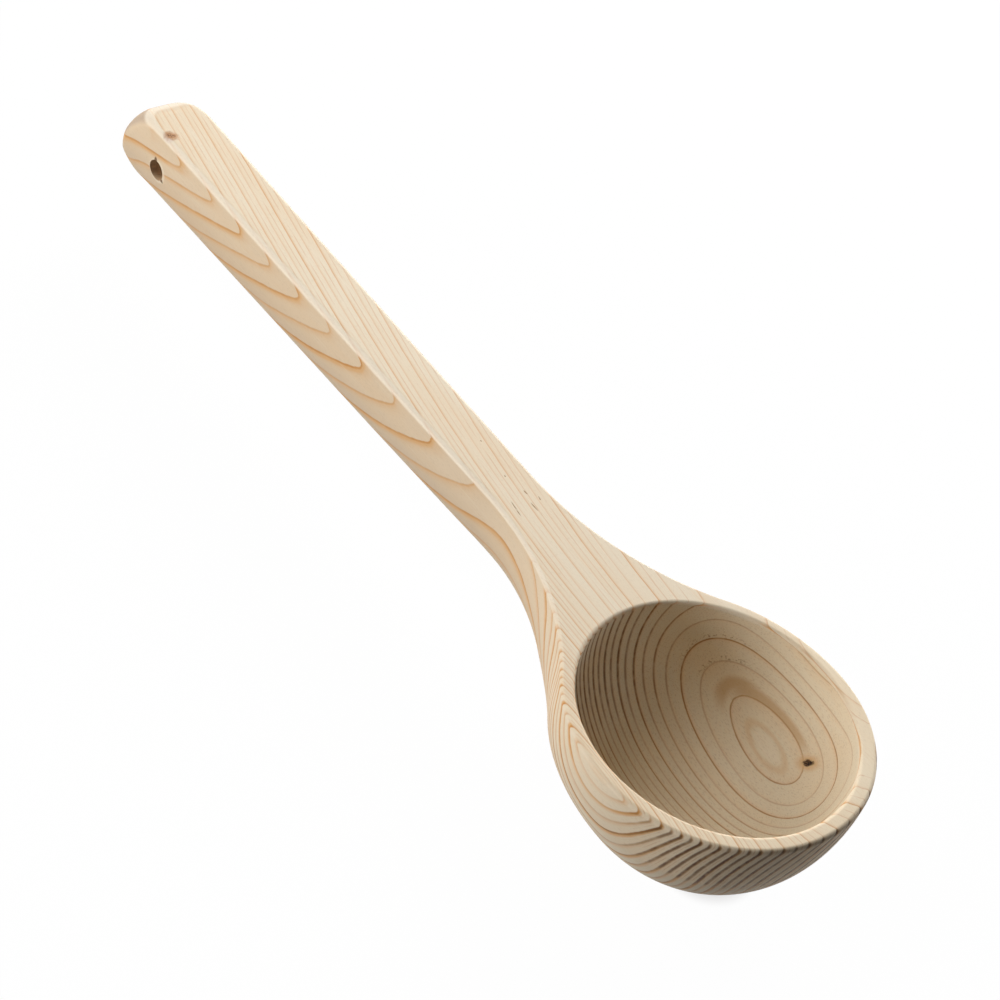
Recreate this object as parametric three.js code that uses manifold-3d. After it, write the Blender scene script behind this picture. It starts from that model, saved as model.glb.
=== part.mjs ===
import * as THREE from 'three';
import { mergeVertices, toCreasedNormals } from 'three/addons/utils/BufferGeometryUtils.js';
import Module from 'manifold-3d';

// Carved wooden ladle. Millimetres, Z up, X from the bowl to the handle's end.
// The origin is under the bowl's centre, on the flat it stands on.

// Bowl
const RIM_RADIUS = 47.8; // hollow's wall at the rim
const RIM_ROUND = 1.6; // rounding of the rim's inner edge
const FRONT_LAND = 6.1; // rim's breadth at the front
const SIDE_LAND = 5.3; // rim's breadth at the sides
const BACK_LAND = 6.6; // reach of the outline's ellipse behind the hollow
const BOWL_HEIGHT = 52.5; // foot to rim
const FLOOR_THICKNESS = 7; // wood left under the hollow
const FOOT_TRIM = 3.1; // how much of the round underside the flat foot takes off
const HOLLOW_FULLNESS = 2.2; // 2 is an ellipse, more is fuller
const SIDE_FULLNESS = 2; // outer wall, seen along the handle
const FRONT_FULLNESS = 2.2; // outer wall, seen from the side
const WIDEST_SHIFT = 3.8; // widest station, this far before the hollow's centre

// Neck
const NECK_FILLET = 96; // hollow curve in plan between bowl and handle
const UNDER_LAND = 37.4; // reach of the underside's ellipse behind the hollow
const UNDER_FILLET = 31.2; // hollow curve under the neck

// Handle
const HANDLE_LENGTH = 278.3; // hollow's back edge to the handle's end
const NECK_WIDTH = 21.8;
const END_WIDTH = 25;
const NECK_DEPTH = 26.9;
const END_DEPTH = 32.2;
const HANDLE_SQUARENESS = 3; // section's lower corners, 2 is an ellipse
const SQUARE_RUN = 134.7; // distance behind the hollow at which it has become that square
const ARRIS = 1.7; // rounding along the top edges
const END_ARRIS = 9; // the same at the handle's end
const END_ARRIS_RUN = 18; // length over which it grows
const END_TOP_ROUND = 12.2; // end's rounding, seen from the side
const END_UNDER_ROUND = 10.3;
const END_CORNER = 2.2; // end's rounding in plan

// Hanging hole, drilled across the handle
const HOLE_DIAMETER = 8;
const HOLE_FROM_END = 22.3;
const HOLE_DROP = 0.5; // below the handle's middle

// Fineness
const FAN_STEPS = 26;
const NECK_STEPS = 24;
const GRIP_STEPS = 12;
const END_STEPS = 12;
const ARRIS_STEPS = 3;
const WALL_STEPS = 12;
const HOLLOW_STEPS = 16;
const HOLLOW_TURNS = 64;
const HOLE_TURNS = 32;
const CUT_OVER = 5; // cutters stand out by this much

// Derived sizes
const widestX = -WIDEST_SHIFT;
const sideRadius = RIM_RADIUS + SIDE_LAND;
const frontRadius = RIM_RADIUS + FRONT_LAND - WIDEST_SHIFT;
const roundDepth = BOWL_HEIGHT + FOOT_TRIM;
const hollowDepth = BOWL_HEIGHT - FLOOR_THICKNESS;
const backReach = WIDEST_SHIFT + RIM_RADIUS + BACK_LAND;
const underReach = WIDEST_SHIFT + RIM_RADIUS + UNDER_LAND;
const handleReach = RIM_RADIUS + HANDLE_LENGTH;
const squareX = RIM_RADIUS + SQUARE_RUN;
const holeX = handleReach - HOLE_FROM_END;

const { clamp, lerp, smoothstep } = THREE.MathUtils;

// How far a quarter-round of this radius has fallen away at x, when it ends at the handle's end
function endFall(x, radius) {
  const q = clamp((x - handleReach + radius) / radius, 0, 1);
  return radius * (1 - Math.sqrt(1 - q * q));
}

// Where the fillet between the bowl and the handle ends
function filletEnd(bowl, reach, fillet, neck) {
  return widestX + (reach / bowl) * Math.sqrt((bowl + fillet) ** 2 - (neck + fillet) ** 2);
}

// Half-size at x of the bowl's ellipse, the fillet and the straight handle, each tangent to the next
function flare(x, bowl, reach, fillet, neck, end) {
  const gripX = filletEnd(bowl, reach, fillet, neck);
  if (x > gripX) {
    return lerp(neck, end, (x - gripX) / (handleReach - gripX));
  }
  const along = ((x - widestX) * bowl) / reach;
  const centre = ((gripX - widestX) * bowl) / reach;
  if (along > (centre * bowl) / (bowl + fillet)) {
    return neck + fillet - Math.sqrt(fillet ** 2 - (centre - along) ** 2);
  }
  return Math.sqrt(bowl ** 2 - along ** 2);
}

function halfWidth(x) {
  const width = flare(x, sideRadius, backReach, NECK_FILLET, NECK_WIDTH / 2, END_WIDTH / 2);
  return width - endFall(x, END_CORNER);
}

function depth(x) {
  const fall = flare(x, roundDepth, underReach, UNDER_FILLET, NECK_DEPTH, END_DEPTH);
  return fall - endFall(x, END_UNDER_ROUND);
}

// Half section from the middle of the top, over the edge and down to the middle of the underside.
// place(share, z) gives the point at that share of the way out from the middle.
function halfSection(place, width, top, bottom, arris, squareness) {
  const round = Math.min(arris, 0.45 * (top - bottom));
  const points = [place(0, top)];
  for (let i = 0; i <= ARRIS_STEPS; i++) {
    const angle = ((Math.PI / 2) * i) / ARRIS_STEPS;
    const out = width - round * (1 - Math.sin(angle));
    points.push(place(out / width, top - round * (1 - Math.cos(angle))));
  }
  for (let i = 1; i <= WALL_STEPS; i++) {
    const angle = ((Math.PI / 2) * i) / WALL_STEPS;
    const out = i < WALL_STEPS ? Math.cos(angle) ** (2 / squareness) : 0;
    const fall = Math.sin(angle) ** (2 / squareness);
    points.push(place(out, lerp(top - round, bottom, fall)));
  }
  return points;
}

// Half sections round the bowl's front, then along neck, grip and end
function halfSections() {
  const rows = [];
  for (let i = 0; i < FAN_STEPS; i++) {
    const turn = ((Math.PI / 2) * i) / FAN_STEPS;
    const alongX = -frontRadius * Math.cos(turn);
    const alongY = sideRadius * Math.sin(turn);
    const place = (share, z) => new THREE.Vector3(widestX + share * alongX, share * alongY, z);
    const fullness = lerp(FRONT_FULLNESS, SIDE_FULLNESS, Math.sin(turn) ** 2);
    rows.push(halfSection(place, Math.hypot(alongX, alongY), 0, -roundDepth, ARRIS, fullness));
  }
  const gripX = filletEnd(sideRadius, backReach, NECK_FILLET, NECK_WIDTH / 2);
  const endX = handleReach - END_ARRIS_RUN;
  const stations = [];
  for (let i = 0; i < NECK_STEPS; i++) {
    stations.push(lerp(widestX, gripX, i / NECK_STEPS));
  }
  for (let i = 0; i < GRIP_STEPS; i++) {
    stations.push(lerp(gripX, endX, i / GRIP_STEPS));
  }
  for (let i = 0; i <= END_STEPS; i++) {
    stations.push(lerp(endX, handleReach, Math.sin(((Math.PI / 2) * i) / END_STEPS)));
  }
  for (const x of stations) {
    const width = halfWidth(x);
    const place = (share, z) => new THREE.Vector3(x, share * width, z);
    const squareness = lerp(SIDE_FULLNESS, HANDLE_SQUARENESS, smoothstep(x, widestX, squareX));
    const arris = lerp(ARRIS, END_ARRIS, smoothstep(x, endX, handleReach));
    rows.push(halfSection(place, width, -endFall(x, END_TOP_ROUND), -depth(x), arris, squareness));
  }
  return rows;
}

// Skin over the half sections, with its mirror image across the middle and a cap at the end
function loft(rows) {
  const points = [];
  const faces = [];
  const size = rows[0].length;
  for (const side of [1, -1]) {
    const start = points.length;
    const face = (a, b, c) => faces.push(start + a, start + (side > 0 ? b : c), start + (side > 0 ? c : b));
    for (const point of rows.flat()) {
      points.push(new THREE.Vector3(point.x, side * point.y, point.z));
    }
    for (let i = 0; i + 1 < rows.length; i++) {
      for (let j = 0; j + 1 < size; j++) {
        const a = i * size + j;
        face(a, a + size, a + 1);
        face(a + size, a + size + 1, a + 1);
      }
    }
    const cap = (rows.length - 1) * size;
    for (let j = 1; j + 1 < size; j++) {
      face(cap, cap + j + 1, cap + j);
    }
  }
  const geometry = new THREE.BufferGeometry().setFromPoints(points);
  geometry.setIndex(faces);
  return geometry;
}

// Cutter for the hollow: a round profile turned about Z, with the rim's rounding at its mouth
function hollowCutter() {
  const profile = [];
  for (let i = HOLLOW_STEPS; i >= 0; i--) {
    const angle = ((Math.PI / 2) * i) / HOLLOW_STEPS;
    const out = i < HOLLOW_STEPS ? Math.cos(angle) ** (2 / HOLLOW_FULLNESS) : 0;
    const fall = Math.sin(angle) ** (2 / HOLLOW_FULLNESS);
    profile.push(new THREE.Vector2(RIM_RADIUS * out, lerp(-RIM_ROUND, -hollowDepth, fall)));
  }
  for (let i = 1; i <= ARRIS_STEPS; i++) {
    const angle = ((Math.PI / 2) * i) / ARRIS_STEPS;
    const out = RIM_RADIUS + RIM_ROUND * (1 - Math.cos(angle));
    profile.push(new THREE.Vector2(out, -RIM_ROUND * (1 - Math.sin(angle))));
  }
  profile.push(new THREE.Vector2(RIM_RADIUS + RIM_ROUND, CUT_OVER));
  profile.push(new THREE.Vector2(0, CUT_OVER));
  return new THREE.LatheGeometry(profile, HOLLOW_TURNS).rotateX(Math.PI / 2);
}

function holeCutter() {
  const length = END_WIDTH + 2 * CUT_OVER;
  const radius = HOLE_DIAMETER / 2;
  const cutter = new THREE.CylinderGeometry(radius, radius, length, HOLE_TURNS);
  return cutter.translate(holeX, 0, -depth(holeX) / 2 - HOLE_DROP);
}

function footCutter() {
  const side = 2 * (sideRadius + backReach);
  const cutter = new THREE.BoxGeometry(side, side, FOOT_TRIM + CUT_OVER);
  return cutter.translate(widestX, 0, -BOWL_HEIGHT - (FOOT_TRIM + CUT_OVER) / 2);
}

const wasm = await Module();
wasm.setup();

function solid(geometry) {
  geometry.deleteAttribute('normal');
  geometry.deleteAttribute('uv');
  const merged = mergeVertices(geometry, 1e-4);
  const index = merged.index.array;
  const triangles = [];
  for (let i = 0; i < index.length; i += 3) {
    const [a, b, c] = index.subarray(i, i + 3);
    if (a !== b && b !== c && c !== a) {
      triangles.push(a, b, c);
    }
  }
  return new wasm.Manifold(
    new wasm.Mesh({
      numProp: 3,
      vertProperties: new Float32Array(merged.attributes.position.array),
      triVerts: new Uint32Array(triangles),
    }),
  );
}

function surface(body) {
  const mesh = body.getMesh();
  const geometry = new THREE.BufferGeometry();
  geometry.setAttribute('position', new THREE.BufferAttribute(mesh.vertProperties, 3));
  geometry.setIndex(new THREE.BufferAttribute(mesh.triVerts, 1));
  return toCreasedNormals(geometry.translate(0, 0, BOWL_HEIGHT), Math.PI / 6);
}

const blank = solid(loft(halfSections()));
const carved = blank.subtract(solid(hollowCutter())).subtract(solid(footCutter()));
const drilled = carved.subtract(solid(holeCutter()));

const wood = new THREE.MeshStandardMaterial({ color: 0xe3c9a3, roughness: 0.62, metalness: 0 });
wood.name = 'wood';

const ladle = new THREE.Mesh(surface(drilled), wood);
ladle.name = 'ladle';

const part = new THREE.Group();
part.name = 'sauna_ladle';
part.add(ladle);

export default part;
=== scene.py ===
import math

import bmesh
import bpy
from mathutils import Matrix, Vector


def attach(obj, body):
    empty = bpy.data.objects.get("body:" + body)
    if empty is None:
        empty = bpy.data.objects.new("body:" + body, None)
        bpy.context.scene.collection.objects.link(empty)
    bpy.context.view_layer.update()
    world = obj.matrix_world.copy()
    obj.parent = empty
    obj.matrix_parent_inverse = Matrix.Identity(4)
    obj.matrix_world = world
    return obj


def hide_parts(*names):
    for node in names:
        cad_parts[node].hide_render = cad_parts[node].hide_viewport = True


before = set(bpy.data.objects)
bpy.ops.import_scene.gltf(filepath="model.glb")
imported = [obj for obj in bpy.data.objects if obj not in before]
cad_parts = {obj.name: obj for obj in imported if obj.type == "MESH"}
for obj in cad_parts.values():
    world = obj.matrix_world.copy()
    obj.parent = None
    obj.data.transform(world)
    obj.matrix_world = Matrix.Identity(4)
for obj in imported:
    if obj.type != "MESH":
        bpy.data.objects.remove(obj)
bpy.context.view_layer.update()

# The ladle: bowl, neck and handle carved from one board of pale pine. The top is left flat,
# the hollow is turned out of it, the outside is shaped and sanded by hand, and a hole to
# hang it by is drilled across the handle's end. Lengths are in millimetres from the rim plane.
MM = 0.001
RIM_HEIGHT = 52.5
RIM_RADIUS = 47.8
RIM_ROUND = 1.6
HOLLOW_DEPTH = 45.5
HOLLOW_FULLNESS = 2.2
WIDEST_X = -3.8
FRONT_RADIUS = 50.1
SIDE_RADIUS = 53.1
BACK_REACH = 58.2
ROUND_DEPTH = 55.6
FRONT_FULLNESS = 2.2
SIDE_FULLNESS = 2.0
NECK_FILLET = 96
UNDER_REACH = 89
UNDER_FILLET = 31.2
HANDLE_END_X = 326.1
NECK_WIDTH, END_WIDTH = 21.8, 25
NECK_DEPTH, END_DEPTH = 26.9, 32.2
HANDLE_SQUARENESS = 3
SQUARE_X = 182.5
ARRIS, GRIP_ARRIS, END_ARRIS, END_ARRIS_RUN = 1.7, 2.5, 9, 18
END_TOP_ROUND, END_UNDER_ROUND, END_CORNER = 12.2, 10.3, 2.2
ARRIS_STEPS, WALL_STEPS = 8, 40
FAN_STEPS, NECK_STEPS, GRIP_STEPS, END_STEPS = 56, 60, 56, 24
HOLLOW_STEPS, TOP_COLUMNS = 72, 8
SEAM_GAP, HAIR = 1e-3, 1e-4


def mix(a, b, share):
    return a + (b - a) * share


def ease(low, high, x):
    share = min(max((x - low) / (high - low), 0), 1)
    return share * share * (3 - 2 * share)


def end_fall(x, radius):
    share = min(max((x - HANDLE_END_X + radius) / radius, 0), 1)
    return radius * (1 - math.sqrt(1 - share * share))


def flare(x, bowl, reach, fillet, neck, end):
    """Half size at x where an ellipse runs through a fillet into a straight taper."""
    centre = math.sqrt((bowl + fillet) ** 2 - (neck + fillet) ** 2)
    grip_x = WIDEST_X + centre * reach / bowl
    if x > grip_x:
        return mix(neck, end, (x - grip_x) / (HANDLE_END_X - grip_x))
    along = (x - WIDEST_X) * bowl / reach
    if along > centre * bowl / (bowl + fillet):
        return neck + fillet - math.sqrt(fillet**2 - (centre - along) ** 2)
    return math.sqrt(bowl**2 - along**2)


def half_width(x):
    width = flare(x, SIDE_RADIUS, BACK_REACH, NECK_FILLET, NECK_WIDTH / 2, END_WIDTH / 2)
    return width - end_fall(x, END_CORNER)


def depth(x):
    keel = flare(x, ROUND_DEPTH, UNDER_REACH, UNDER_FILLET, NECK_DEPTH, END_DEPTH)
    return keel - end_fall(x, END_UNDER_ROUND)


def section(row, width, top, bottom, arris, squareness):
    """Share of the width and height at a row of the half section, from the flat top down to the keel."""
    arris = min(arris, 0.45 * (top - bottom))
    if row <= ARRIS_STEPS:
        angle = math.pi / 2 * row / ARRIS_STEPS
        return 1 - arris / width * (1 - math.sin(angle)), top - arris * (1 - math.cos(angle))
    angle = math.pi / 2 * (row - ARRIS_STEPS) / WALL_STEPS
    out = max(math.cos(angle), 0) ** (2 / squareness) if row < ARRIS_STEPS + WALL_STEPS else 0
    return out, mix(top - arris, bottom, math.sin(angle) ** (2 / squareness))


def front_point(turn, row):
    along, across = -FRONT_RADIUS * math.cos(turn), SIDE_RADIUS * math.sin(turn)
    fullness = mix(FRONT_FULLNESS, SIDE_FULLNESS, math.sin(turn) ** 2)
    share, z = section(row, math.hypot(along, across), 0, -ROUND_DEPTH, ARRIS, fullness)
    return Vector((WIDEST_X + share * along, share * across, z))


def side_point(x, row):
    width = half_width(x)
    squareness = mix(SIDE_FULLNESS, HANDLE_SQUARENESS, ease(WIDEST_X, SQUARE_X, x))
    arris = mix(ARRIS, GRIP_ARRIS, ease(BACK_REACH, SQUARE_X, x))
    arris = mix(arris, END_ARRIS, ease(HANDLE_END_X - END_ARRIS_RUN, HANDLE_END_X, x))
    share, z = section(row, width, -end_fall(x, END_TOP_ROUND), -depth(x), arris, squareness)
    return Vector((x, share * width, z))


def hollow_point(column, row):
    turn = math.pi * column / HOLLOW_STEPS
    if row <= WALL_STEPS:
        angle = math.pi / 2 * (1 - row / WALL_STEPS)
        out = RIM_RADIUS * max(math.cos(angle), 0) ** (2 / HOLLOW_FULLNESS) if row else 0
        z = mix(-RIM_ROUND, -HOLLOW_DEPTH, math.sin(angle) ** (2 / HOLLOW_FULLNESS))
    else:
        angle = math.pi / 2 * (row - WALL_STEPS) / ARRIS_STEPS
        out = RIM_RADIUS + RIM_ROUND * (1 - math.cos(angle))
        z = -RIM_ROUND * (1 - math.sin(angle))
    return Vector((out * math.cos(turn), out * math.sin(turn), z))


def shaped_grid(bm, columns, rows, place):
    """A grid whose crossings are moved to place(column, row)."""
    made = bmesh.ops.create_grid(bm, x_segments=columns, y_segments=rows, size=0.5)
    for vert in made["verts"]:
        column, row = round((vert.co.x + 0.5) * columns), round((vert.co.y + 0.5) * rows)
        vert.co = place(column, row)


grip_x = WIDEST_X + BACK_REACH / SIDE_RADIUS * math.sqrt(
    (SIDE_RADIUS + NECK_FILLET) ** 2 - (NECK_WIDTH / 2 + NECK_FILLET) ** 2
)
top_end_x = HANDLE_END_X - END_TOP_ROUND
stations = [mix(WIDEST_X, grip_x, i / NECK_STEPS) for i in range(NECK_STEPS)]
stations += [mix(grip_x, top_end_x, i / GRIP_STEPS) for i in range(GRIP_STEPS)]
end_stations = [
    top_end_x + END_TOP_ROUND * math.sin(math.pi / 2 * i / END_STEPS) for i in range(END_STEPS + 1)
]
stations += end_stations


def skin_point(column, row):
    if column < FAN_STEPS:
        return front_point(math.pi / 2 * column / FAN_STEPS, row)
    return side_point(stations[column - FAN_STEPS], row)


def top_end_point(column, row):
    border = side_point(end_stations[column], 0)
    return Vector((border.x, border.y * row / TOP_COLUMNS, border.z))


bm = bmesh.new()
shaped_grid(bm, FAN_STEPS + len(stations) - 1, ARRIS_STEPS + WALL_STEPS, skin_point)
shaped_grid(bm, END_STEPS, TOP_COLUMNS, top_end_point)
shaped_grid(bm, HOLLOW_STEPS, WALL_STEPS + ARRIS_STEPS, hollow_point)
half = bm.verts[:] + bm.edges[:] + bm.faces[:]
bmesh.ops.mirror(bm, geom=half, matrix=Matrix(), axis="Y", merge_dist=HAIR)
bmesh.ops.remove_doubles(bm, verts=bm.verts[:], dist=SEAM_GAP)
bmesh.ops.dissolve_degenerate(bm, dist=HAIR, edges=bm.edges[:])
bmesh.ops.bisect_plane(
    bm,
    geom=bm.verts[:] + bm.edges[:] + bm.faces[:],
    plane_co=(0, 0, -RIM_HEIGHT),
    plane_no=(0, 0, -1),
    clear_outer=True,
)
rim_plane = [e for e in bm.edges if e.is_boundary and all(abs(v.co.z) < HAIR for v in e.verts)]
bmesh.ops.triangle_fill(bm, use_beauty=True, edges=rim_plane)
bmesh.ops.holes_fill(bm, edges=[e for e in bm.edges if e.is_boundary], sides=0)
bmesh.ops.recalc_face_normals(bm, faces=bm.faces[:])
bmesh.ops.translate(bm, vec=(0, 0, RIM_HEIGHT), verts=bm.verts[:])
bmesh.ops.scale(bm, vec=(MM, MM, MM), verts=bm.verts[:])
blank_mesh = bpy.data.meshes.new("ladle_blank")
bm.to_mesh(blank_mesh)
bm.free()
blank = bpy.data.objects.new("ladle_blank", blank_mesh)
bpy.context.scene.collection.objects.link(blank)

# The hanging hole: drilled straight across the handle near its end once the outside is shaped.
# The drill is a round bar that cuts the hole out of the blank and is then put away.
HOLE_X, HOLE_Z, HOLE_RADIUS = 303.8, -16.3, 4
HOLE_FACETS = 64
CREASE_ANGLE = 40

bm = bmesh.new()
bmesh.ops.create_cone(
    bm,
    cap_ends=True,
    segments=HOLE_FACETS,
    radius1=HOLE_RADIUS,
    radius2=HOLE_RADIUS,
    depth=2 * END_WIDTH,
)
bmesh.ops.rotate(bm, cent=(0, 0, 0), matrix=Matrix.Rotation(math.pi / 2, 3, "X"), verts=bm.verts[:])
bmesh.ops.translate(bm, vec=(HOLE_X, 0, HOLE_Z + RIM_HEIGHT), verts=bm.verts[:])
bmesh.ops.scale(bm, vec=(MM, MM, MM), verts=bm.verts[:])
bmesh.ops.recalc_face_normals(bm, faces=bm.faces[:])
drill_mesh = bpy.data.meshes.new("drill")
bm.to_mesh(drill_mesh)
bm.free()
drill = bpy.data.objects.new("drill", drill_mesh)
bpy.context.scene.collection.objects.link(drill)
cut = blank.modifiers.new("hanging hole", "BOOLEAN")
cut.operation = "DIFFERENCE"
cut.solver = "EXACT"
cut.object = drill
ladle_mesh = bpy.data.meshes.new_from_object(blank.evaluated_get(bpy.context.evaluated_depsgraph_get()))
ladle_mesh.name = "carved_ladle"
bpy.data.objects.remove(blank)
bpy.data.objects.remove(drill)
ladle_mesh.shade_smooth()
ladle_mesh.set_sharp_from_angle(angle=math.radians(CREASE_ANGLE))
ladle = bpy.data.objects.new("carved_ladle", ladle_mesh)
bpy.context.scene.collection.objects.link(ladle)
flat_shading = ladle.modifiers.new("flat faces keep flat shading", "WEIGHTED_NORMAL")
flat_shading.keep_sharp = True
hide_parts("ladle")
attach(ladle, "root")

# The pine itself: pale summer wood with narrow brown winter rings, laid open by the shaping and
# sanded without oil. One count of rings runs through the board for the top, neck and handle, one
# closes round an eye on the bowl's outside, and one swings round a knot in the hollow.
BOARD_MIDDLE, BOARD_REACH = (100, 0, -20), (150, 50, 30)
BOWL_MIDDLE, BOWL_REACH = (0, 0, -22), (50, 50, 25)
WEAK_RING = 0.5
SUMMER_WOOD = (0.865, 0.745, 0.57, 1)
# Painted shade: the handle's sides are a darker, deeper copy of the top's wood, whose paler tone stands in
# for the sheen the flat top catches.
SHADED_SIDE_WOOD = (0.81, 0.64, 0.45, 1)
BOWL_WOOD = (0.80, 0.695, 0.52, 1)
RIM_WOOD = (0.93, 0.785, 0.575, 1)
PALE_WOOD = (0.93, 0.82, 0.65, 1)
# Painted highlight for the rounded arris between the handle's top and sides.
ARRIS_HIGHLIGHT = (0.98, 0.87, 0.70, 1)
WARM_WOOD = (0.80, 0.55, 0.305, 1)
RING_GLOW = (0.76, 0.46, 0.22, 1)
WINTER_RING = (0.64, 0.30, 0.09, 1)
SHELL_RING = (0.34, 0.16, 0.06, 1)
BOWL_RING = (0.39, 0.18, 0.055, 1)
END_GRAIN_RING = (0.125, 0.055, 0.02, 1)
END_WOOD = (0.51, 0.405, 0.315, 1)
# Painted shade for the hollow's back-left wall, darker and greyer than the lit wood.
PAINTED_HOLLOW_SHADE = (0.67, 0.635, 0.59, 1)
FRONT_WOOD = (0.98, 0.81, 0.60, 1)
# Painted shade for the lower part of the handle's sides.
PAINTED_UNDER_SHADE = (0.66, 0.51, 0.36, 1)
TORN_WOOD = (0.42, 0.28, 0.16, 1)
ENDLESS = 1000
OUTSIDE_OF_BOWL = ((0, 0, 0), (50, 50, ENDLESS))
INSIDE_OF_BOWL = ((0, 0, 0), (51, 51, 49))
PLAIN_END = ((317.5, 12, -5.5), (8, 8, 4.5))
FAINT_ARROW = ((298, 12.3, -4.5), (9, 4, 4.5))
EYE = ((0, 52.5, -8), (17, 10, 10))
LEAST_SLOPE = 0.03

pine = bpy.data.materials.new("pale_pine")
pine.use_nodes = True
nodes, links = pine.node_tree.nodes, pine.node_tree.links


class Amount:
    """A number that varies through the wood, worked out by shader nodes."""

    def __init__(self, socket):
        self.socket = socket

    def __add__(self, other):
        return calc("ADD", self, other)

    def __sub__(self, other):
        return calc("SUBTRACT", self, other)

    def __mul__(self, other):
        return calc("MULTIPLY", self, other)

    def __rsub__(self, other):
        return calc("SUBTRACT", other, self)

    __radd__ = __add__
    __rmul__ = __mul__


def feed(socket, value):
    if isinstance(value, Amount):
        links.new(value.socket, socket)
    else:
        socket.default_value = value


def calc(operation, *terms):
    node = nodes.new("ShaderNodeMath")
    node.operation = operation
    for socket, term in zip(node.inputs, terms):
        feed(socket, term)
    return Amount(node.outputs[0])


def fade(value, low, high, start=0, end=1):
    """Smooth change from start to end while the value goes from low to high."""
    node = nodes.new("ShaderNodeMapRange")
    node.interpolation_type = "SMOOTHSTEP"
    for socket, term in zip(node.inputs, (value, low, high, start, end)):
        feed(socket, term)
    return Amount(node.outputs[0])


def tint(share, ground, colour):
    """The ground covered by a share of the colour."""
    node = nodes.new("ShaderNodeMix")
    node.data_type = "RGBA"
    # The node has like-named sockets for numbers and vectors too, so those for colours go by number.
    feed(node.inputs[0], share)
    feed(node.inputs[6], ground)
    feed(node.inputs[7], colour)
    return Amount(node.outputs[2])


def moved(centre, reach, turn=(0, 0, 0)):
    """Places measured from a centre, in shares of a reach along, across and up."""
    to_centre = nodes.new("ShaderNodeMapping")
    to_centre.vector_type = "TEXTURE"
    along, across, up = centre
    to_centre.inputs["Location"].default_value = (along * MM, across * MM, (up + RIM_HEIGHT) * MM)
    to_centre.inputs["Rotation"].default_value = [math.radians(t) for t in turn]
    to_centre.inputs["Scale"].default_value = [r * MM for r in reach]
    links.new(place.outputs["Object"], to_centre.inputs["Vector"])
    return Amount(to_centre.outputs[0])


def parts(whole):
    node = nodes.new("ShaderNodeSeparateXYZ")
    links.new(whole.socket, node.inputs[0])
    return [Amount(socket) for socket in node.outputs]


def joined(x, y, z):
    node = nodes.new("ShaderNodeCombineXYZ")
    for socket, part in zip(node.inputs, (x, y, z)):
        feed(socket, part)
    return Amount(node.outputs[0])


def vector(operation, output, *terms):
    node = nodes.new("ShaderNodeVectorMath")
    node.operation = operation
    for socket, term in zip(node.inputs, terms):
        feed(socket, term)
    return Amount(node.outputs[output])


def away(centre, reach, turn=(0, 0, 0)):
    """Distance from a centre, in shares of the reach."""
    return vector("LENGTH", "Value", moved(centre, reach, turn))


def grain(length, width, detail=3, roughness=0.55):
    """Noise from 0 to 1 with marks of this length along the board and this width across it."""
    node = nodes.new("ShaderNodeTexNoise")
    node.inputs["Scale"].default_value = 1
    node.inputs["Detail"].default_value = detail
    node.inputs["Roughness"].default_value = roughness
    feed(node.inputs["Vector"], moved((0, 0, 0), (length, width, width)))
    return Amount(node.outputs[0])


place = nodes.new("ShaderNodeTexCoord")
x_mm, y_mm, z_mm = parts(moved((0, 0, 0), (1, 1, 1)))
inside = fade(away(*INSIDE_OF_BOWL), 0.985, 1.02, 1, 0) * fade(z_mm, -1.4, -0.4, 1, 0)

# The three counts of rings: formulas of the place in the board or the bowl, in shares of its reach.
# Least-squares fits to the rings traced in the photograph gave their weights. Each has its slope, the
# change of the count per millimetre along, across and up, so that a ring keeps its width.
x, y, z = parts(moved(BOARD_MIDDLE, BOARD_REACH))
tip = z - 0.517
vee = calc("SQRT", tip * tip + 0.0045)
vee_slope = calc("DIVIDE", tip, vee)
bend = 1.06 * x - 2.03 - 2.7 * z * z + y * (1.59 * y - 3.85 * vee)
fall = -8.4 + 4.64 * z + 5.63 * vee
board_rings = -0.63 - 1.96 * z + x * (fall + x * bend) + y * (-11.06 + y * (-4.07 - 3.94 * y * y))
board_slope = joined(
    (fall + x * (2 * bend + 1.06 * x)) * (1 / BOARD_REACH[0]),
    (-11.06 + y * (-8.14 - 15.76 * y * y) + x * x * (3.18 * y - 3.85 * vee)) * (1 / BOARD_REACH[1]),
    (-1.96 + x * (4.64 - 5.4 * x * z + vee_slope * (5.63 - 3.85 * x * y))) * (1 / BOARD_REACH[2]),
)

x, y, z = parts(moved(BOWL_MIDDLE, BOWL_REACH))
y_y = y * y
cross = y_y * z * (2.222 * z - 2.348)
shoulder = y_y * (3.351 * z - 0.786 * y)
nose = x * x * (1.704 * y - 0.88)
shell_rings = 2.848 - z * (0.447 + 2.931 * z) + y * (y * (y * z * (1.472 - 0.94 * z) - 8.168) - 11.152)
shell_rings = shell_rings + x * (cross - 0.136 - 0.885 * y + x * (shoulder + nose))
along = cross - 0.136 - 0.885 * y + x * (2 * shoulder + 4 * nose)
across = 2 * y * z * (2.222 * z - 2.348) - 0.885 + x * (y * (6.702 * z - 2.358 * y) + 1.704 * x * x)
across = y_y * z * (4.416 - 2.82 * z) - 11.152 - 16.336 * y + x * across
up = y_y * (y * (1.472 - 1.88 * z) + x * (4.444 * z - 2.348 + 3.351 * x)) - 0.447 - 5.862 * z
shell_slope = joined(along * (1 / BOWL_REACH[0]), across * (1 / BOWL_REACH[1]), up * (1 / BOWL_REACH[2]))

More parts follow.
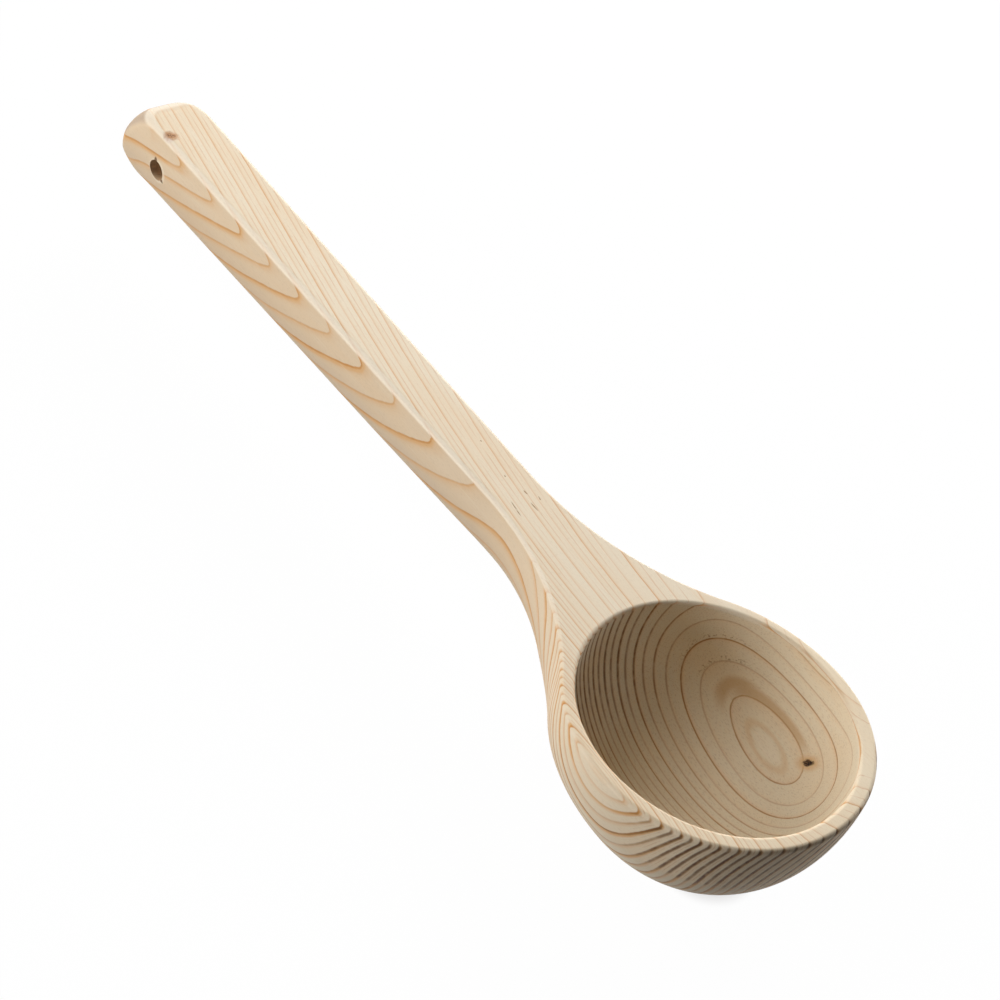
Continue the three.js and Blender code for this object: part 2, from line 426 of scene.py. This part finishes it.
swing = z * (2.55 * z - 1.55)
sink = -15.08 + 4.86 * z - 1.96 * z * z * z
bowl_rings = -0.79 + 0.2 * x - 0.31 * z + y * (sink + y * (1.29 * y * z - 6.29))
bowl_rings = bowl_rings + x * y * (x * (2.15 * y - 0.91) + swing)
bowl_slope = joined(
    (0.2 + y * (x * (4.3 * y - 1.82) + swing)) * (1 / BOWL_REACH[0]),
    (sink + y * (3.87 * y * z - 12.58) + x * (x * (4.3 * y - 0.91) + swing)) * (1 / BOWL_REACH[1]),
    (-0.31 + y * (4.86 - 5.88 * z * z + 1.29 * y * y + x * (5.1 * z - 1.55))) * (1 / BOWL_REACH[2]),
)

shell = fade(x_mm, 20, 45, 1, 0)
rings = board_rings + shell * (shell_rings - board_rings)
rings = rings + inside * (bowl_rings - rings)
rings = rings + (0.16 * (grain(60, 12, 2) - 0.5) + 0.08 * (grain(14, 1.5, 2) - 0.5)) * (1 - 0.75 * inside)

nearest = calc("FLOOR", rings + 0.5)
past = rings - nearest
chance = nodes.new("ShaderNodeTexWhiteNoise")
chance.noise_dimensions = "1D"
feed(chance.inputs["W"], nearest)
odd = calc("FLOORED_MODULO", nearest, 2)
strength = (1 - (1 - WEAK_RING) * odd) * fade(Amount(chance.outputs[0]), 0, 1, 0.8, 1.15)
strength = strength * fade(away(*PLAIN_END), 0.75, 1.1)
strength = strength * fade(away(*FAINT_ARROW), 0.4, 1.1, 0.35, 1)
strength = strength * fade(away(*EYE), 0.5, 1.1, 0.55, 1)

# How the faces cut the grain, each as a share from 0 to 1: end grain on the bowl's front and on the hollow's
# back, which also grows toward the hollow's +Y side and there carries painted shade, the flat top with its
# rim, and the handle's sides, end and arris.
facing = Amount(nodes.new("ShaderNodeNewGeometry").outputs["Normal"])
face_x, _, face_z = parts(facing)
outer = fade(away(*OUTSIDE_OF_BOWL), 0.995, 1.03)
end_grain = fade(-1 * face_x, 0.12, 0.57) * outer * (1 - inside)
flat_top = fade(face_z, 0.6, 0.95) * (1 - inside)
handle_end = fade(face_x, 0.02, 0.45) * fade(x_mm, 302, 315)
# End grain on the hollow's back wall, and the share of painted shade, growing toward the hollow's shaded +Y
# side.
hollow_end_grain_and_shade = fade(-1 * face_x, 0.2, 0.85) * inside * fade(y_mm, -42, 5, 0.15, 1)
handle_side = (1 - flat_top) * (1 - inside) * fade(x_mm, 20, 90)
rim_top = flat_top * fade(x_mm, 10, 40, 1, 0)
arris = fade(face_z, 0.1, 0.45) * fade(face_z, 0.93, 0.995, 1, 0) * fade(z_mm, -3.5, -2) * fade(x_mm, 30, 80)

# The winter rings as lines of a steady width in millimetres, with a warm glow on their later side.


def steepness(slope):
    """How fast a count changes along the surface, per millimetre."""
    return vector("LENGTH", "Value", vector("CROSS_PRODUCT", "Vector", facing, slope))


board_steep, bowl_steep, shell_steep = steepness(board_slope), steepness(bowl_slope), steepness(shell_slope)
steep = board_steep + shell * (shell_steep - board_steep)
steep = calc("MAXIMUM", steep + inside * (bowl_steep - steep), LEAST_SLOPE)
off_mm = calc("DIVIDE", past, steep)
long_grain = (1 - end_grain) * (1 - flat_top) * (1 - inside)
thin = 1 - 0.58 * end_grain - 0.45 * long_grain - 0.15 * inside - 0.45 * hollow_end_grain_and_shade
line = fade(off_mm * thin, -0.3, -0.08) * fade(off_mm * thin, 0.08, 0.42, 1, 0)
near_glow = fade(off_mm, -0.3, 0.05) * fade(past, 0.2, 0.48, 1, 0)
near_glow = near_glow * fade(off_mm * (1 + flat_top + inside), 0.1, 2.6, 1, 0)
far_glow = fade(past, -0.05, 0.02) * fade(past, 0.02, 0.48, 1, 0) * (1 - 0.6 * flat_top)
warmth = 0.8 * near_glow + 0.5 * far_glow

# The colour of the wood, from its ground tone on each face, with painted shade on the handle's sides,
# underside and hollow and a painted highlight on the arris, to its fibres, rings and flecks.
broad = grain(90, 14, 2)
fibre = grain(26, 0.5, 4, 0.65)
fine = grain(5, 0.16, 3, 0.6)
colour = tint(inside, SUMMER_WOOD, BOWL_WOOD)
# Painted shade: the handle's sides take a darker, deeper copy of the wood than the top.
colour = tint(handle_side, colour, SHADED_SIDE_WOOD)
# Painted shade: the handle's sides darker toward their lower edge, where the light falls off underneath.
colour = tint(handle_side * fade(z_mm, -22, -7, 0.55, 0), colour, PAINTED_UNDER_SHADE)
colour = tint(end_grain, colour, FRONT_WOOD)
colour = tint(rim_top, colour, RIM_WOOD)
colour = tint(handle_end, colour, END_WOOD)
# Painted shade: the hollow's back-left wall darkened and greyed where little light reaches.
colour = tint(hollow_end_grain_and_shade * 0.75, colour, PAINTED_HOLLOW_SHADE)
colour = tint(fade(broad, 0.3, 0.75, 0, 0.25), colour, WARM_WOOD)
colour = tint(warmth * strength * (1 - 0.5 * flat_top - 0.7 * inside), colour, RING_GLOW)
colour = tint(fade(fibre, 0.2, 0.45, 0.3, 0), colour, PALE_WOOD)
colour = tint(fade(fibre, 0.5, 0.8, 0, 0.4), colour, WARM_WOOD)
line_depth = 0.9 + 0.1 * end_grain - 0.4 * flat_top - 0.25 * inside + 0.28 * hollow_end_grain_and_shade
line_depth = line_depth * fade(grain(45, 3, 2), 0.3, 0.6, 0.7, 1.05)
outer_line = tint(shell * fade(z_mm, -20, -6, 0.7, 0), WINTER_RING, SHELL_RING)
outer_line = tint(end_grain, outer_line, END_GRAIN_RING)
inner_line = tint(hollow_end_grain_and_shade, BOWL_RING, END_GRAIN_RING)
alike = 0.6 * calc("MAXIMUM", end_grain, hollow_end_grain_and_shade)
line_share = line * (strength + alike * (1 - strength)) * line_depth
colour = tint(line_share, colour, tint(inside, outer_line, inner_line))
between = calc("DIVIDE", rings - calc("FLOOR", rings) - 0.5, steep)
false_ring = fade(between, -0.3, -0.05) * fade(between, 0.05, 0.35, 1, 0)
false_ring = false_ring * calc("MAXIMUM", flat_top, end_grain) * fade(grain(70, 4, 2), 0.35, 0.6, 0, 0.4)
colour = tint(false_ring, colour, WINTER_RING)
# Painted highlight: a pale band along the arris where the rounded edge would catch the light.
colour = tint(arris * 0.7, colour, ARRIS_HIGHLIGHT)
fleck = fade(grain(1.4, 0.4, 2), 0.5, 0.75, 0, 0.14) * (1 + 1.5 * inside + 1.5 * hollow_end_grain_and_shade)
colour = tint(fleck, colour, TORN_WOOD)

# Knots and torn grain: one dead knot in the hollow with a warm streak along the ring beside it,
# one red pin knot at the handle's end, and short tears that the plane left on the neck. Each spot
# has its centre, its reach along, across and up, and its turn in degrees.
KNOT_HALO = (0.69, 0.44, 0.215, 1)
DEAD_KNOT = (0.024, 0.014, 0.008, 1)
PIN_KNOT = (0.50, 0.25, 0.11, 1)
PIN_KNOT_HALO = (0.79, 0.64, 0.55, 1)
STREAK_WOOD = (0.58, 0.365, 0.175, 1)
TEAR_WOOD = (0.33, 0.165, 0.05, 1)
OVAL_RING = 8
DEAD_KNOT_SPOT = ((-17.6, -38.0, -24.9), (1.3, 0.7, 0.7), (0, 45, 0))
STREAK_SPOT = ((4, -43, -22), (30, 9, 12), (0, 0, 10))
BLOOM_SPOT = ((19, -36.5, -25), (12, 11, 11))
INNER_OVAL = ((-2.4, -35.8, -32.2), (10.6, 3.9, 3.9), (0, 0, -10.4))
PIN_KNOT_SPOT = ((303.2, 9.6, 0), (2.6, 2.2, 2), (0, 0, 40))
PIN_HALO_SPOT = ((302.7, 11.4, -0.3), (3.3, 1.8, 2))
ROUGH_HOLLOW = ((30, -33, -17), (15, 15, 12))
TEAR_WIDTH, TEAR_DEPTH = 0.31, 1
TEARS = (
    ((100.1, 5.8, 0), 4.2, -9.4),
    ((98.2, -1, 0), 2.5, 0),
    ((104.9, -2.4, 0), 1.3, 4),
    ((100.7, -5.3, 0), 1.2, -13),
    ((130.7, -3, 0), 0.5, 0),
    ((113.9, -0.4, 0), 0.5, 0),
)

knot = away(*DEAD_KNOT_SPOT) + 1.8 * (grain(1.2, 1.2, 2) - 0.5)
streak = fade(rings, OVAL_RING - 0.5, OVAL_RING - 0.2)
streak = streak * fade(rings, OVAL_RING - 0.05, OVAL_RING + 0.03, 1, 0)
streak = streak * inside * fade(away(*STREAK_SPOT), 0.5, 1.1, 1, 0)
bloom = fade(rings, OVAL_RING - 0.6, OVAL_RING - 0.35)
bloom = bloom * fade(rings, OVAL_RING - 0.25, OVAL_RING - 0.03, 1, 0)
bloom = bloom * inside * fade(away(*BLOOM_SPOT), 0.3, 1, 1, 0)
inner = away(*INNER_OVAL) + 0.4 * (grain(14, 3, 2) - 0.5)
colour = tint(calc("MAXIMUM", streak, bloom) * 0.7, colour, STREAK_WOOD)
colour = tint(fade(inner, 0.4, 0.8, 0.25, 0) * inside, colour, PALE_WOOD)
colour = tint(fade(inner, 0.65, 0.92) * fade(inner, 0.98, 1.3, 0.42, 0) * inside, colour, KNOT_HALO)
colour = tint(fade(knot, 1.4, 5.5, 0.9, 0), colour, KNOT_HALO)
knot_core = tint(fade(grain(0.5, 0.5, 1), 0.5, 0.6, 0, 0.3), DEAD_KNOT, PIN_KNOT)
colour = tint(fade(knot, 1.2, 2.2, 1, 0), colour, knot_core)
pin = away(*PIN_KNOT_SPOT) + 0.9 * (grain(1.2, 1.2, 2) - 0.5)
colour = tint(fade(away(*PIN_HALO_SPOT), 0.4, 1, 0.6, 0), colour, PIN_KNOT_HALO)
colour = tint(fade(pin, 0.5, 1.4, 0.95, 0), colour, PIN_KNOT)
colour = tint(fade(pin, 0.2, 0.8, 0.7, 0) * fade(grain(0.8, 0.8, 2), 0.45, 0.6), colour, DEAD_KNOT)
tear = 0
for centre, half_length, turn in TEARS:
    from_tear = away(centre, (half_length, TEAR_WIDTH, TEAR_DEPTH), (0, 0, turn))
    tear = calc("MAXIMUM", tear, fade(from_tear, 0.55, 1, 1, 0))
tear = tear * fade(grain(3, 0.5, 2), 0.3, 0.5, 0.3, 1)
comb = fade(off_mm, -2.2, -1.4) * fade(off_mm, -0.5, -0.1, 1, 0) * fade(grain(2.2, 0.6, 1), 0.56, 0.64)
comb = comb * inside * fade(away(*ROUGH_HOLLOW), 0.5, 1.1, 1, 0)
colour = tint(comb * 0.75, colour, TORN_WOOD)
colour = tint(tear * 0.85, colour, TEAR_WOOD)

# The mouth of the hanging hole: the bore is brown and rough inside, its edge is rubbed pale, and
# the bit tore the wood along the grain at two places.
BORE_WOOD = (0.56, 0.37, 0.205, 1)
SPLINTER_WOOD = (0.2, 0.115, 0.055, 1)
BORE_REACH = (HOLE_RADIUS, ENDLESS, HOLE_RADIUS)
LIP_SHIFT = 0.5
SPLINTERS = (
    ((300.9, 12, -17.9), (2.5, 6, 1.1), (0, -29, 0)),
    ((304.9, 12, -12.6), (1.9, 6, 1.1), (0, -74, 0)),
)

bore = fade(away((HOLE_X, 0, HOLE_Z), BORE_REACH), 1.0, 1.04, 1, 0)
lip = fade(away((HOLE_X - LIP_SHIFT, 0, HOLE_Z), BORE_REACH), 1.1, 1.3, 1, 0)
splinter = 0
for spot in SPLINTERS:
    splinter = calc("MAXIMUM", splinter, fade(away(*spot), 0.6, 1, 1, 0))
colour = tint(lip * 0.5, colour, PALE_WOOD)
colour = tint(splinter, colour, SPLINTER_WOOD)
colour = tint(0.85 * bore, colour, BORE_WOOD)

# The finish: sanded and left bare, so nearly matt, with the fibres just felt under a finger.
MATT, SATIN = 0.62, 0.5
finish = nodes["Principled BSDF"]
feed(finish.inputs["Base Color"], colour)
feed(finish.inputs["Roughness"], fade(fibre + 0.3 * line, 0.3, 1.1, MATT, SATIN) - 0.28 * arris)
finish.inputs["Specular IOR Level"].default_value = 0.2
relief = nodes.new("ShaderNodeBump")
relief.inputs["Strength"].default_value = 0.35
relief.inputs["Distance"].default_value = 0.1 * MM
pits = 3 * calc("MAXIMUM", tear, comb) + 3 * splinter + fade(knot, 1.2, 2.2, 4, 0)
feed(relief.inputs["Height"], fibre + 0.6 * fine - 0.5 * line - pits)
links.new(relief.outputs[0], finish.inputs["Normal"])
ladle_mesh.materials.clear()
ladle_mesh.materials.append(pine)

# The stage: a floor of white paper that keeps a faint shadow where the bowl stands, white space
# round it, four soft round lamps, and a camera at the photograph's viewing angle.
FLOOR_REACH = 4
FLOOR_BOUNCE = (0.35, 0.35, 0.35, 1)
WHITE = (1, 1, 1, 1)
SHADOW_MIDDLE = (-20, 0, -RIM_HEIGHT)
SHADOW_DARK, SHADOW_GONE = 13, 20
DIM_SKY = 0.005

bm = bmesh.new()
bmesh.ops.create_grid(bm, x_segments=1, y_segments=1, size=FLOOR_REACH)
floor_mesh = bpy.data.meshes.new("studio_floor")
bm.to_mesh(floor_mesh)
bm.free()
floor = bpy.data.objects.new("studio_floor", floor_mesh)
bpy.context.scene.collection.objects.link(floor)
paper = bpy.data.materials.new("white_paper")
paper.use_nodes = True
nodes, links = paper.node_tree.nodes, paper.node_tree.links
place = nodes.new("ShaderNodeTexCoord")
from_foot = away(SHADOW_MIDDLE, (1, 1, 1))


def seen_rays():
    """One for the rays that show the backdrop to the camera, straight or mirrored, else nothing."""
    path = nodes.new("ShaderNodeLightPath")
    seen = calc("MAXIMUM", Amount(path.outputs["Is Camera Ray"]), Amount(path.outputs["Is Glossy Ray"]))
    return calc("MAXIMUM", seen, Amount(path.outputs["Is Transmission Ray"]))


seen = seen_rays()
paper_face = nodes["Principled BSDF"]
paper_face.inputs["Roughness"].default_value = 0.95
feed(paper_face.inputs["Base Color"], tint(seen, FLOOR_BOUNCE, WHITE))
glow = nodes.new("ShaderNodeEmission")
blend = nodes.new("ShaderNodeMixShader")
feed(blend.inputs[0], seen * fade(from_foot, SHADOW_DARK, SHADOW_GONE, 0.7, 0.985))
links.new(paper_face.outputs[0], blend.inputs[1])
links.new(glow.outputs[0], blend.inputs[2])
links.new(blend.outputs[0], nodes["Material Output"].inputs["Surface"])
floor_mesh.materials.append(paper)

world = bpy.data.worlds.new("studio")
world.use_nodes = True
nodes, links = world.node_tree.nodes, world.node_tree.links
nodes["Background"].inputs["Color"].default_value = WHITE
feed(nodes["Background"].inputs["Strength"], fade(seen_rays(), 0, 1, DIM_SKY, 1))
bpy.context.scene.world = world

LAMP_DISTANCE = 1.6
LAMP_WIDTH = 0.8
LAMP_TARGET = Vector((0.1, 0, 0))


def soft_lamp(name, bearing, height, watts):
    """A round lamp at this bearing and height in degrees, aimed at the middle of the ladle."""
    bearing, height = math.radians(bearing), math.radians(height)
    flat = math.cos(height)
    outward = Vector((flat * math.cos(bearing), flat * math.sin(bearing), math.sin(height)))
    data = bpy.data.lights.new(name, "AREA")
    data.shape = "DISK"
    data.size = LAMP_WIDTH
    data.energy = watts
    lamp = bpy.data.objects.new(name, data)
    lamp.location = LAMP_TARGET + LAMP_DISTANCE * outward
    lamp.rotation_euler = (-outward).to_track_quat("-Z", "Y").to_euler()
    bpy.context.scene.collection.objects.link(lamp)


soft_lamp("side_lamp", bearing=65, height=12, watts=15.7)
soft_lamp("back_lamp", bearing=-60, height=30, watts=23)
soft_lamp("high_lamp", bearing=30, height=50, watts=8.9)
soft_lamp("far_lamp", bearing=-95, height=10, watts=6.8)

camera_data = bpy.data.cameras.new("camera")
camera_data.lens = 101.293
camera_data.sensor_width = 36
camera = bpy.data.objects.new("camera", camera_data)
camera.location = (-0.30016, 0.57318, 0.68212)
camera.rotation_euler = [math.radians(a) for a in (45.589, -16.447, -128.795)]
bpy.context.scene.collection.objects.link(camera)
bpy.context.scene.camera = camera
bpy.context.scene.view_settings.view_transform = "Standard"
